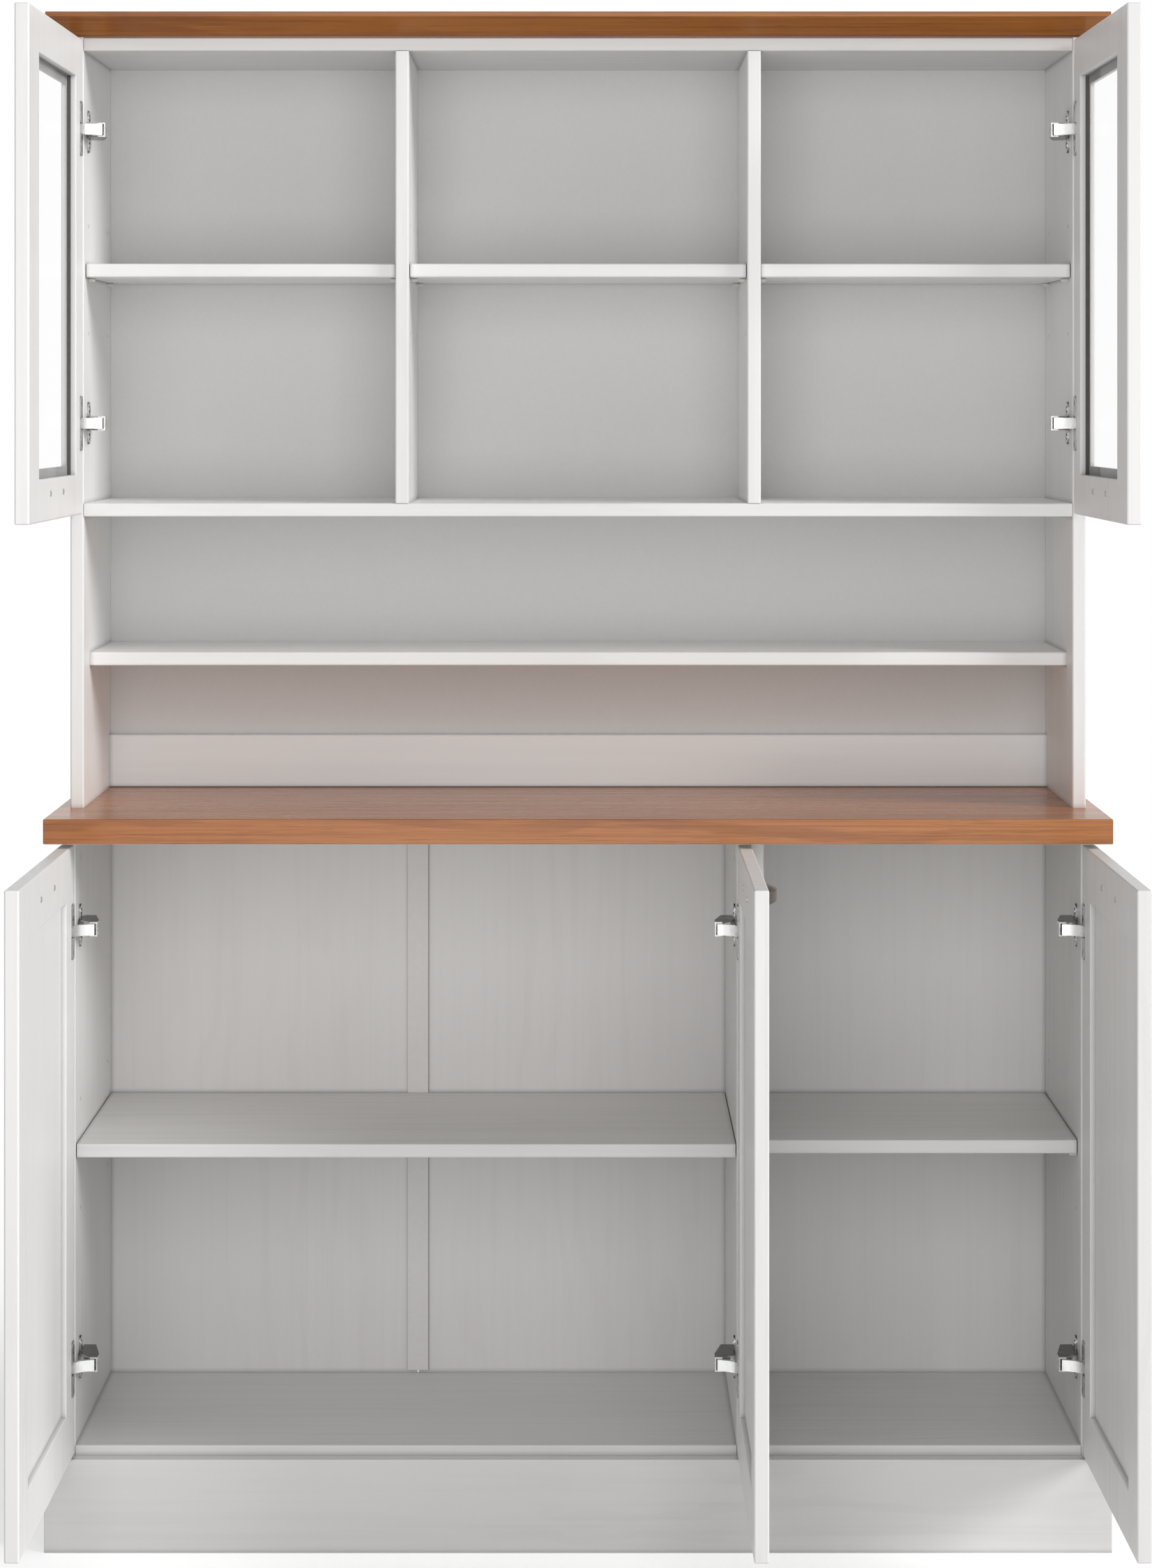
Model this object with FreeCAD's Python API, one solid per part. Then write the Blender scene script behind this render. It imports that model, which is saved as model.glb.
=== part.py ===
import FreeCAD, Part
import math
import os

Vector = FreeCAD.Vector

# A kitchen buffet: a base of two modules under a counter board, and a hutch that stands on it.
# Lengths are in millimetres. X runs along the front, Y from front to back and Z up.
# The origin is the centre of the plinth's footprint, on the floor.

# Whole cabinet
CABINET_WIDTH = 1200.0
BAY_COUNT = 3
BASE_DEPTH = 320.0
HUTCH_DEPTH = 249.0
BASE_HEIGHT = 823.5
HUTCH_HEIGHT = 910.5
BOARD = 16.0
BACK_SHEET = 3.0
EDGE_ROUND = 2.0

# Plinth
PLINTH_HEIGHT = 108.0
PLINTH_BOARD = 18.0
PLINTH_LIP = 4.5

# Counter board
COUNTER_BOARD = 29.0
COUNTER_FRONT_OVERHANG = 48.0
COUNTER_SIDE_OVERHANG = 15.0
COUNTER_ROUND = 1.5

# Shelves and rails
SHELF_SIDE_CLEARANCE = 1.0
SHELF_BACK_CLEARANCE = 2.0
BASE_SHELF_RISE = 333.5
WIDE_SHELF_SETBACK = 3.0
NARROW_SHELF_SETBACK = 26.0
OPEN_SHELF_RISE = 164.5
OPEN_SHELF_SETBACK = 50.0
DECK_RISE = 344.0
UPPER_SHELF_SHARE = 0.5005
UPPER_SHELF_SETBACK = 14.0
BACKSPLASH_HEIGHT = 65.2

# Joining strip of the wide back
BATTEN_WIDTH = 27.0
BATTEN_SHEET = 1.2
BATTEN_FOOT_GAP = 3.0

# Shelf pins and their hole rows
PIN_RADIUS = 2.45
PIN_HOLE_RADIUS = 2.5
PIN_HOLE_DEPTH = 7.0
PIN_INSERTION = 6.5
PIN_REACH = 8.0
PIN_FRONT_SETBACK = 41.0
PIN_BACK_SETBACK = 34.0
PIN_PITCH = 64.0

# Connector discs
CAM_RADIUS = 7.4
CAM_HOLE_RADIUS = 7.5
CAM_DEPTH = 12.0
CAM_PROUD = 0.2
CAM_SETBACK = 47.0
CAM_DROP = 25.5
CAM_SLOT_WIDTH = 1.8
CAM_SLOT_DEPTH = 1.5

# Crown moulding, as distances out from the hutch and heights over its top
CROWN_PROJECTION = 26.0
CROWN_SEAT_DEPTH = 20.0
CROWN_REBATE_DEPTH = 4.0
CROWN_REBATE_HEIGHT = 2.7
CROWN_TOE = 1.0
CROWN_LIP_HEIGHT = 6.0
CROWN_HEIGHT = 28.0
CROWN_ROUND = 1.0

# Doors
DOOR_THICKNESS = 16.0
DOOR_GAP = 3.0
DOOR_STANDOFF = 1.5
LOWER_DOOR_FOOT_GAP = 2.0
LOWER_DOOR_HEAD_GAP = 5.5
UPPER_DOOR_FOOT_GAP = 3.5
UPPER_DOOR_HEAD_GAP = 3.0
OUTER_DOOR_ANGLE_DEGREES = 90.4
MIDDLE_DOOR_ANGLE_DEGREES = 90.0

# Door frames
PANEL_STILE = 60.0
PANEL_RAIL = 60.0
PANEL_SHEET = 5.0
PANEL_RECESS = 5.0
PANEL_GROOVE = 8.0
PANEL_CLEARANCE = 1.0
GLASS_STILE = 60.0
GLASS_FREE_STILE = 69.0
GLASS_RAIL = 57.5
GLASS_SHEET = 4.0
GLASS_LIP = 10.5
GLASS_LIP_THICKNESS = 5.5
GLASS_GROOVE = 7.0
GLASS_CLEARANCE = 0.5
GASKET_WIDTH = 1.5
WINDOW_ROUND = 1.2

# Handles
HANDLE_HALF_CHORD = 57.5
HANDLE_PROJECTION = 18.5
HANDLE_STRIP = 2.4
HANDLE_STRIP_HEIGHT = 12.0
HANDLE_EDGE_ROUND = 0.6
HANDLE_SCREW_SPACING = 96.0
HANDLE_INSET = 30.0
HANDLE_POST_RADIUS = 4.0
HANDLE_SCREW_RADIUS = 1.8
HANDLE_SCREW_CLEARANCE = 0.2
HANDLE_SCREW_HEAD_RADIUS = 3.3
HANDLE_SCREW_HEAD = 0.8

# Concealed hinges: case in the door, plate and arm on the panel, link between them
PIVOT_INSET = 4.5
PIVOT_LEAD = 10.5
LOWER_HINGE_FROM_FOOT = 103.0
LOWER_HINGE_FROM_HEAD = 99.0
UPPER_HINGE_FROM_FOOT = 107.0
UPPER_HINGE_FROM_HEAD = 106.0
CASE_START = 7.0
CASE_END = 19.8
CASE_HALF_HEIGHT = 8.2
CASE_DEPTH = 11.5
CASE_WALL = 0.9
CASE_SEAT_CLEARANCE = 0.1
CASE_FLOOR_CLEARANCE = 0.5
FLANGE_START = 3.2
FLANGE_END = 20.3
FLANGE_SHEET = 1.2
FLANGE_HEIGHT = 64.0
FLANGE_ROUND = 4.0
FLANGE_SCREW_SPACING = 48.0
FLANGE_SCREW_RADIUS = 3.2
FLANGE_SCREW_HEAD = 0.15
FLANGE_SCREW_GROOVE = 0.5
ARM_WIDTH = 16.8
ARM_WALL = 1.6
ARM_START = 1.2
ARM_FLAT_END = 18.0
ARM_END = 60.0
ARM_FRONT_RISE = 25.0
ARM_BACK_RISE = 16.0
ARM_CHEEK_START = 20.0
ARM_MOUTH_RISE = 16.5
ARM_SCREW_RADIUS = 3.2
ARM_SCREW_HEAD = 0.2
ARM_SCREW_SETBACK = 10.0
ARM_SCREW_SPACING = 36.0
PLATE_SETBACK = 37.0
PLATE_SHEET = 2.0
PLATE_WIDTH = 16.0
PLATE_HEIGHT = 50.0
PLATE_ROUND_SHARE = 0.45
PLATE_HEEL_HEIGHT = 13.0
PLATE_HEEL_LENGTH = 34.0
PLATE_HEEL_RISE = 6.0
PLATE_SCREW_SPACING = 32.0
PLATE_SCREW_RADIUS = 3.6
PLATE_SCREW_HEAD = 0.7
LINK_HEIGHT = 12.8
LINK_SHEET = 1.2
LINK_FOOT_LEAD = 15.5
LINK_FOOT_LENGTH = 6.6
LINK_BEND_LEAD = 4.0
LINK_CLEARANCE = 1.2
LINK_SIDE_CLEARANCE = 0.3
LINK_WALL_RISE = 3.0
LINK_WALL_DEPTH = 3.0
LINK_TAIL_END = 8.0

# Cross recesses in the screw heads, with their arms as a share of the head's radius
RECESS_WIDTH = 1.0
RECESS_DEPTH = 0.6
RECESS_ARM_SHARE = 0.62

# Length that a cutting solid runs past what it cuts
OVERRUN = 5.0

# Planes and levels that follow
BAY = CABINET_WIDTH / BAY_COUNT
HALF_WIDTH = CABINET_WIDTH / 2
HALF_BAY = BAY / 2
INNER_HALF_WIDTH = HALF_WIDTH - BOARD
FRONT_Y = (PLINTH_BOARD - BASE_DEPTH - BACK_SHEET) / 2
BACK_Y = FRONT_Y + BASE_DEPTH
REAR_Y = BACK_Y + BACK_SHEET
HUTCH_Y = BACK_Y - HUTCH_DEPTH
BOTTOM_Z = PLINTH_HEIGHT - PLINTH_LIP
FLOOR_OF_BAYS_Z = BOTTOM_Z + BOARD
BASE_SHELF_Z = FLOOR_OF_BAYS_Z + BASE_SHELF_RISE
COUNTER_Z = BASE_HEIGHT + COUNTER_BOARD
HUTCH_TOP_Z = COUNTER_Z + HUTCH_HEIGHT
OPEN_SHELF_Z = COUNTER_Z + OPEN_SHELF_RISE
DECK_Z = COUNTER_Z + DECK_RISE
UPPER_CLEAR_HEIGHT = HUTCH_HEIGHT - DECK_RISE - 2 * BOARD
UPPER_SHELF_Z = DECK_Z + BOARD + UPPER_SHELF_SHARE * UPPER_CLEAR_HEIGHT
DOOR_WIDTH = BAY - DOOR_GAP
LOWER_DOOR_Z = PLINTH_HEIGHT + LOWER_DOOR_FOOT_GAP
LOWER_DOOR_HEIGHT = BASE_HEIGHT - LOWER_DOOR_HEAD_GAP - LOWER_DOOR_Z
UPPER_DOOR_Z = DECK_Z + UPPER_DOOR_FOOT_GAP
UPPER_DOOR_HEIGHT = HUTCH_TOP_Z - UPPER_DOOR_HEAD_GAP - UPPER_DOOR_Z
LOWER_HINGES = (LOWER_HINGE_FROM_FOOT, LOWER_DOOR_HEIGHT - LOWER_HINGE_FROM_HEAD)
UPPER_HINGES = (UPPER_HINGE_FROM_FOOT, UPPER_DOOR_HEIGHT - UPPER_HINGE_FROM_HEAD)
SIDES = (-1, 1)


# Building blocks

def save(name, *solids):
    shape = solids[0] if len(solids) == 1 else Part.makeCompound(list(solids))
    shape.exportStep("parts/" + name + ".step")


def block(low_x, high_x, low_y, high_y, low_z, high_z):
    corner = Vector(low_x, low_y, low_z)
    return Part.makeBox(high_x - low_x, high_y - low_y, high_z - low_z, corner)


def rod(radius, start, end):
    direction = end - start
    return Part.makeCylinder(radius, direction.Length, start, direction)


def prism(points, low, high):
    """A solid with an outline of (x, y) points, from one height to another."""
    corners = [Vector(x, y, low) for x, y in points]
    face = Part.Face(Part.makePolygon(corners + corners[:1]))
    return face.extrude(Vector(0, 0, high - low))


def line(start, end):
    return Part.LineSegment(start, end).toShape()


def arc(start, middle, end):
    return Part.Arc(start, middle, end).toShape()


def slab(edges, low, high):
    """A solid with a closed outline of edges, which lie at height zero."""
    face = Part.Face(Part.Wire(edges))
    return face.translated(Vector(0, 0, low)).extrude(Vector(0, 0, high - low))


def cross(top, axis, arm, width, depth):
    """A cross to cut into a head, round the middle of its top; the axis is x or y."""
    bars = []
    for wide, tall in ((arm, width / 2), (width / 2, arm)):
        half_x, half_y = (depth, wide) if axis == "x" else (wide, depth)
        bars.append(block(
            top.x - half_x, top.x + half_x, top.y - half_y, top.y + half_y, top.z - tall, top.z + tall,
        ))
    return bars[0].fuse(bars[1])


def recess(top, axis, head_radius):
    return cross(top, axis, head_radius * RECESS_ARM_SHARE, RECESS_WIDTH, RECESS_DEPTH)


def near(value, target):
    return abs(value - target) < OVERRUN * 1e-4


def board(low_x, high_x, low_y, high_y, low_z, high_z, radius=EDGE_ROUND):
    """A board with the two long edges of its front face rounded."""
    shape = block(low_x, high_x, low_y, high_y, low_z, high_z)
    front = [edge for edge in shape.Edges if near(edge.CenterOfMass.y, low_y)]
    longest = max(edge.Length for edge in front)
    return shape.makeFillet(radius, [edge for edge in front if near(edge.Length, longest)])


# Hole rows, pins and discs in the upright boards

def pin_places(front, shelf_z):
    """Where a shelf's pins lie along Y, and their axis height."""
    height = shelf_z - PIN_RADIUS
    return [Vector(0, front + PIN_FRONT_SETBACK, height), Vector(0, BACK_Y - PIN_BACK_SETBACK, height)]


def drill_pins(shape, face_x, into, front, shelf_z):
    """Drill the used hole and one a pitch above and below it, into a face."""
    for place in pin_places(front, shelf_z):
        for step in (-PIN_PITCH, 0, PIN_PITCH):
            start = Vector(face_x - into * OVERRUN, place.y, place.z + step)
            end = Vector(face_x + into * PIN_HOLE_DEPTH, place.y, place.z + step)
            shape = shape.cut(rod(PIN_HOLE_RADIUS, start, end))
    return shape


def shelf_pins(face_x, into, front, shelf_z):
    pins = []
    for place in pin_places(front, shelf_z):
        start = Vector(face_x + into * PIN_INSERTION, place.y, place.z)
        end = Vector(face_x - into * PIN_REACH, place.y, place.z)
        pins.append(rod(PIN_RADIUS, start, end))
    return pins


def cam_places(face_x):
    height = BASE_HEIGHT - CAM_DROP
    return [Vector(face_x, FRONT_Y + CAM_SETBACK, height), Vector(face_x, BACK_Y - CAM_SETBACK, height)]


def drill_cams(shape, face_x, into):
    for place in cam_places(face_x):
        start = place - Vector(into * OVERRUN, 0, 0)
        end = place + Vector(into * CAM_DEPTH, 0, 0)
        shape = shape.cut(rod(CAM_HOLE_RADIUS, start, end))
    return shape


def cam_locks(face_x, into):
    locks = []
    for place in cam_places(face_x):
        outer = place - Vector(into * CAM_PROUD, 0, 0)
        lock = rod(CAM_RADIUS, outer, place + Vector(into * CAM_DEPTH, 0, 0))
        locks.append(lock.cut(cross(outer, "x", CAM_RADIUS / 2, CAM_SLOT_WIDTH, CAM_SLOT_DEPTH)))
    return locks


# Hinges on the panels, modelled with X inwards from the panel's face, Y back from its front edge
# and Z from the hinge's middle height

def hinge_arm():
    half = ARM_WIDTH / 2
    outline = [
        (PLATE_SHEET, ARM_CHEEK_START),
        (ARM_MOUTH_RISE, ARM_START),
        (ARM_FRONT_RISE, ARM_START),
        (ARM_FRONT_RISE, ARM_FLAT_END),
        (ARM_BACK_RISE, ARM_END),
        (PLATE_SHEET, ARM_END),
    ]
    hollow = [
        (-OVERRUN, ARM_START - OVERRUN),
        (ARM_FRONT_RISE - ARM_WALL, ARM_START - OVERRUN),
        (ARM_FRONT_RISE - ARM_WALL, ARM_FLAT_END),
        (ARM_BACK_RISE - ARM_WALL, ARM_END),
        (ARM_BACK_RISE - ARM_WALL, ARM_END + OVERRUN),
        (-OVERRUN, ARM_END + OVERRUN),
    ]
    arm = prism(outline, -half, half)
    arm = arm.cut(prism(hollow, ARM_WALL - half, half - ARM_WALL))
    fall = (ARM_FRONT_RISE - ARM_BACK_RISE) / (ARM_END - ARM_FLAT_END)
    for setback in (ARM_SCREW_SETBACK, ARM_SCREW_SETBACK + ARM_SCREW_SPACING):
        rise = ARM_FRONT_RISE - fall * max(0, setback - ARM_SCREW_RADIUS - ARM_FLAT_END)
        foot = Vector(rise - ARM_WALL, setback, 0)
        top = Vector(rise + ARM_SCREW_HEAD, setback, 0)
        arm = arm.fuse(rod(ARM_SCREW_RADIUS, foot, top)).cut(recess(top, "x", ARM_SCREW_RADIUS))
    return arm


def hinge_plate():
    plate = block(
        0, PLATE_SHEET,
        PLATE_SETBACK - PLATE_WIDTH / 2, PLATE_SETBACK + PLATE_WIDTH / 2,
        -PLATE_HEIGHT / 2, PLATE_HEIGHT / 2,
    )
    ends = [edge for edge in plate.Edges if near(edge.Length, PLATE_SHEET)]
    plate = plate.makeFillet(PLATE_WIDTH * PLATE_ROUND_SHARE, ends)
    heel = block(
        0, PLATE_HEEL_RISE,
        ARM_END - PLATE_HEEL_LENGTH, ARM_END,
        -PLATE_HEEL_HEIGHT / 2, PLATE_HEEL_HEIGHT / 2,
    )
    plate = plate.fuse(heel)
    for side in SIDES:
        foot = Vector(PLATE_SHEET / 2, PLATE_SETBACK, side * PLATE_SCREW_SPACING / 2)
        top = foot + Vector(PLATE_SHEET / 2 + PLATE_SCREW_HEAD, 0, 0)
        plate = plate.fuse(rod(PLATE_SCREW_RADIUS, foot, top)).cut(recess(top, "x", PLATE_SCREW_RADIUS))
    return plate


def hinge_link():
    """The strip that curves from the case to the arm's mouth, with a wall behind each side."""
    outer = ARM_FRONT_RISE - ARM_WALL - LINK_CLEARANCE
    inner = outer - LINK_SHEET
    drop = LINK_FOOT_LEAD - LINK_BEND_LEAD
    radius = (outer ** 2 + drop ** 2) / (2 * drop)
    back = radius + LINK_SHEET
    edge = back + LINK_WALL_DEPTH

    def at(angle, reach):
        return Vector(outer - reach * math.sin(angle), reach * math.cos(angle) - LINK_BEND_LEAD - radius, 0)

    def sweep(start, end, reach):
        return arc(at(start, reach), at((start + end) / 2, reach), at(end, reach))

    turn = math.asin(outer / radius)
    bend = math.asin(LINK_SHEET / back)
    foot = Vector(-math.cos(turn), -math.sin(turn), 0) * LINK_FOOT_LENGTH
    strip = slab([
        sweep(turn, 0, radius),
        line(at(0, radius), Vector(outer, LINK_TAIL_END, 0)),
        line(Vector(outer, LINK_TAIL_END, 0), Vector(inner, LINK_TAIL_END, 0)),
        line(Vector(inner, LINK_TAIL_END, 0), at(bend, back)),
        sweep(bend, turn, back),
        line(at(turn, back), at(turn, back) + foot),
        line(at(turn, back) + foot, at(turn, radius) + foot),
        line(at(turn, radius) + foot, at(turn, radius)),
    ], -LINK_HEIGHT / 2, LINK_HEIGHT / 2)
    wall_end = math.asin((outer - LINK_WALL_RISE) / back)
    wall_bend = math.asin(LINK_SHEET / edge)
    wall = [
        sweep(wall_end, bend, back),
        line(at(bend, back), at(wall_bend, edge)),
        sweep(wall_bend, wall_end, edge),
        line(at(wall_end, edge), at(wall_end, back)),
    ]
    low = LINK_HEIGHT / 2 - LINK_SHEET
    strip = strip.fuse(slab(wall, low, LINK_HEIGHT / 2))
    return strip.fuse(slab(wall, -LINK_HEIGHT / 2, -low)).removeSplitter()


def on_panel(shape, face_x, side, front, height):
    """Move a hinge piece to a panel's face; side is -1 where the panel is on the left."""
    if side > 0:
        shape = shape.mirror(Vector(0, 0, 0), Vector(1, 0, 0))
    return shape.translated(Vector(face_x, front, height))


# Door pieces, modelled closed with X from the hinge edge, Y from the outer face inwards and Z from
# the door's foot

def door_slab(height):
    slab = Part.makeBox(DOOR_WIDTH, DOOR_THICKNESS, height)
    return slab.makeFillet(EDGE_ROUND, slab.Edges)


def window_edges(shape, stile, free_stile, rail, height, depth):
    """Edges of a rectangular window at one depth of the door."""
    found = []
    for edge in shape.Edges:
        middle = edge.CenterOfMass
        upright = near(middle.x, stile) or near(middle.x, DOOR_WIDTH - free_stile)
        level = near(middle.z, rail) or near(middle.z, height - rail)
        if near(middle.y, depth) and (upright or level):
            found.append(edge)
    return found


def window_box(stile, free_stile, rail, height, low_y, high_y):
    return block(stile, DOOR_WIDTH - free_stile, low_y, high_y, rail, height - rail)


def frame_pieces(frame, stile, free_stile, rail, height):
    low = -OVERRUN
    thick = DOOR_THICKNESS + OVERRUN
    top = height + OVERRUN
    right = DOOR_WIDTH + OVERRUN
    regions = [
        block(low, stile, low, thick, low, top),
        block(DOOR_WIDTH - free_stile, right, low, thick, low, top),
        block(stile, DOOR_WIDTH - free_stile, low, thick, low, rail),
        block(stile, DOOR_WIDTH - free_stile, low, thick, height - rail, top),
    ]
    return [frame.common(region) for region in regions]


def bore_frame(frame, height, hinges, handle_z):
    """Cut the seats of the hinges' cases and the handle's screw holes."""
    seat_floor = DOOR_THICKNESS - CASE_DEPTH - CASE_FLOOR_CLEARANCE
    past = DOOR_THICKNESS + OVERRUN
    reach = CASE_HALF_HEIGHT + CASE_SEAT_CLEARANCE
    for hinge_z in hinges:
        frame = frame.cut(block(
            CASE_START - CASE_SEAT_CLEARANCE, CASE_END + CASE_SEAT_CLEARANCE,
            seat_floor, past, hinge_z - reach, hinge_z + reach,
        ))
    hole_radius = HANDLE_SCREW_RADIUS + HANDLE_SCREW_CLEARANCE
    for side in SIDES:
        x = DOOR_WIDTH / 2 + side * HANDLE_SCREW_SPACING / 2
        frame = frame.cut(rod(hole_radius, Vector(x, -OVERRUN, handle_z), Vector(x, past, handle_z)))
    return frame


def panel_frame(height, hinges, handle_z):
    window = (PANEL_STILE, PANEL_STILE, PANEL_RAIL, height)
    frame = door_slab(height)
    frame = frame.cut(window_box(*window, -OVERRUN, DOOR_THICKNESS + OVERRUN))
    rims = window_edges(frame, *window, 0) + window_edges(frame, *window, DOOR_THICKNESS)
    frame = frame.makeFillet(WINDOW_ROUND, rims)
    stile = PANEL_STILE - PANEL_GROOVE
    groove = window_box(
        stile, stile, PANEL_RAIL - PANEL_GROOVE, height,
        PANEL_RECESS, PANEL_RECESS + PANEL_SHEET,
    )
    frame = bore_frame(frame.cut(groove), height, hinges, handle_z)
    return frame_pieces(frame, *window)


def door_panel(height):
    hidden = PANEL_GROOVE - PANEL_CLEARANCE
    stile = PANEL_STILE - hidden
    return window_box(
        stile, stile, PANEL_RAIL - hidden, height,
        PANEL_RECESS, PANEL_RECESS + PANEL_SHEET,
    )


def glass_frame(height, hinges, handle_z):
    """A frame with a rebate for the pane on three sides and a groove in the free stile."""
    past = DOOR_THICKNESS + OVERRUN
    window = (GLASS_STILE, GLASS_FREE_STILE, GLASS_RAIL, height)
    rebate = (GLASS_STILE - GLASS_LIP, GLASS_FREE_STILE, GLASS_RAIL - GLASS_LIP, height)
    frame = door_slab(height).cut(window_box(*window, -OVERRUN, past))
    frame = frame.cut(window_box(*rebate, GLASS_LIP_THICKNESS, past))
    rims = window_edges(frame, *window, 0) + window_edges(frame, *rebate, DOOR_THICKNESS)
    frame = frame.makeFillet(WINDOW_ROUND, rims)
    groove = (GLASS_STILE - GLASS_LIP, GLASS_FREE_STILE - GLASS_GROOVE, GLASS_RAIL - GLASS_LIP, height)
    frame = frame.cut(window_box(*groove, GLASS_LIP_THICKNESS, GLASS_LIP_THICKNESS + GLASS_SHEET))
    return frame_pieces(bore_frame(frame, height, hinges, handle_z), *window)


def glass_pane(height):
    return window_box(
        GLASS_STILE - GLASS_LIP + GASKET_WIDTH,
        GLASS_FREE_STILE - GLASS_GROOVE + GLASS_CLEARANCE,
        GLASS_RAIL - GLASS_LIP + GLASS_CLEARANCE, height,
        GLASS_LIP_THICKNESS, GLASS_LIP_THICKNESS + GLASS_SHEET,
    )


def glass_gasket(height):
    """The strip between the pane's edge and the hinge stile."""
    wall = GLASS_STILE - GLASS_LIP
    return block(
        wall, wall + GASKET_WIDTH, GLASS_LIP_THICKNESS, GLASS_LIP_THICKNESS + GLASS_SHEET,
        GLASS_RAIL - GLASS_LIP, height - GLASS_RAIL + GLASS_LIP,
    )


def handle_pieces(handle_z):
    """A bow of flat strip on two posts, and the two screws that hold it through the door."""
    radius = (HANDLE_HALF_CHORD ** 2 + HANDLE_PROJECTION ** 2) / (2 * HANDLE_PROJECTION)
    middle_x = DOOR_WIDTH / 2
    centre_y = radius - HANDLE_PROJECTION
    low = handle_z - HANDLE_STRIP_HEIGHT / 2
    axis = Vector(0, 0, 1)
    centre = Vector(middle_x, centre_y, low)
    bow = Part.makeCylinder(radius, HANDLE_STRIP_HEIGHT, centre, axis)
    bow = bow.cut(Part.makeCylinder(radius - HANDLE_STRIP, HANDLE_STRIP_HEIGHT, centre, axis))
    rims = [edge for edge in bow.Edges if edge.Length > radius]
    bow = bow.makeFillet(HANDLE_EDGE_ROUND, rims)
    reach = radius + OVERRUN
    top = low + HANDLE_STRIP_HEIGHT + OVERRUN
    bow = bow.cut(block(middle_x - reach, middle_x + reach, 0, centre_y + reach, low - OVERRUN, top))
    half_spacing = HANDLE_SCREW_SPACING / 2
    inner_radius = radius - HANDLE_STRIP / 2
    post_top = centre_y - math.sqrt(inner_radius ** 2 - half_spacing ** 2)
    screws = []
    for side in SIDES:
        x = middle_x + side * half_spacing
        bow = bow.fuse(rod(HANDLE_POST_RADIUS, Vector(x, post_top, handle_z), Vector(x, 0, handle_z)))
        shank = rod(HANDLE_SCREW_RADIUS, Vector(x, 0, handle_z), Vector(x, DOOR_THICKNESS, handle_z))
        top = Vector(x, DOOR_THICKNESS + HANDLE_SCREW_HEAD, handle_z)
        head = rod(HANDLE_SCREW_HEAD_RADIUS, Vector(x, DOOR_THICKNESS, handle_z), top)
        screws.append(shank.fuse(head).cut(recess(top, "y", HANDLE_SCREW_HEAD_RADIUS)))
    return [bow] + screws


def hinge_cup(hinge_z):
    """The case that carries the link's foot, with its flange and its two sunk screws."""
    face_y = DOOR_THICKNESS
    flange_y = face_y + FLANGE_SHEET
    middle_x = (FLANGE_START + FLANGE_END) / 2
    half = FLANGE_HEIGHT / 2
    flange = block(FLANGE_START, FLANGE_END, face_y, flange_y, hinge_z - half, hinge_z + half)
    corners = [edge for edge in flange.Edges if near(edge.Length, FLANGE_SHEET)]
    flange = flange.makeFillet(FLANGE_ROUND, corners)
    for side in SIDES:
        seat = Vector(middle_x, face_y + FLANGE_SHEET / 2, hinge_z + side * FLANGE_SCREW_SPACING / 2)
        top = Vector(seat.x, flange_y + FLANGE_SCREW_HEAD, seat.z)
        flange = flange.cut(rod(FLANGE_SCREW_RADIUS + FLANGE_SCREW_GROOVE, seat, top))
        flange = flange.fuse(rod(FLANGE_SCREW_RADIUS, seat, top))
        flange = flange.cut(recess(top, "y", FLANGE_SCREW_RADIUS))
    case = block(
        CASE_START, CASE_END, face_y - CASE_DEPTH, face_y,
        hinge_z - CASE_HALF_HEIGHT, hinge_z + CASE_HALF_HEIGHT,
    )
    gap = LINK_HEIGHT / 2 + LINK_SIDE_CLEARANCE
    mouth = block(
        CASE_START + CASE_WALL, CASE_END - CASE_WALL, face_y - CASE_DEPTH + CASE_WALL, flange_y + OVERRUN,
        hinge_z - gap, hinge_z + gap,
    )
    notch = block(
        FLANGE_START - OVERRUN, FLANGE_END + OVERRUN, face_y, flange_y + OVERRUN,
        hinge_z - gap, hinge_z + gap,
    )
    return case.fuse(flange).cut(mouth).cut(notch)


class Door:
    """Where a door hangs: side is -1 with its hinges on the left, edge_x is its hinge edge."""

    def __init__(self, name, side, module_x, front, foot, height, hinges, degrees):
        self.name = name
        self.side = side
        self.edge_x = module_x - side * DOOR_GAP / 2
        self.panel_x = module_x - side * BOARD
        self.front = front
        self.foot = foot
        self.height = height
        self.hinges = hinges
        self.degrees = degrees

    def pivot(self):
        return Vector(self.edge_x - self.side * PIVOT_INSET, self.front - PIVOT_LEAD, 0)

    def hang(self, shape):
        """Put a piece on the closed door in its place, and swing it open."""
        if self.side > 0:
            shape = shape.mirror(Vector(0, 0, 0), Vector(1, 0, 0))
        outer_y = self.front - DOOR_STANDOFF - DOOR_THICKNESS
        shape = shape.translated(Vector(self.edge_x, outer_y, self.foot))
        return shape.rotated(self.pivot(), Vector(0, 0, 1), self.side * self.degrees)

    def hinge_heights(self):
        return [self.foot + hinge_z for hinge_z in self.hinges]


LOWER_PLACE = (FRONT_Y, LOWER_DOOR_Z, LOWER_DOOR_HEIGHT, LOWER_HINGES)
UPPER_PLACE = (HUTCH_Y, UPPER_DOOR_Z, UPPER_DOOR_HEIGHT, UPPER_HINGES)
LOWER_DOORS = [
    Door("door_left", -1, -HALF_WIDTH, *LOWER_PLACE, OUTER_DOOR_ANGLE_DEGREES),
    Door("door_middle", 1, HALF_BAY, *LOWER_PLACE, MIDDLE_DOOR_ANGLE_DEGREES),
    Door("door_right", 1, HALF_WIDTH, *LOWER_PLACE, OUTER_DOOR_ANGLE_DEGREES),
]
UPPER_DOORS = [
    Door("upper_door_left", -1, -HALF_WIDTH, *UPPER_PLACE, OUTER_DOOR_ANGLE_DEGREES),
    Door("upper_door_right", 1, HALF_WIDTH, *UPPER_PLACE, OUTER_DOOR_ANGLE_DEGREES),
]


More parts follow.
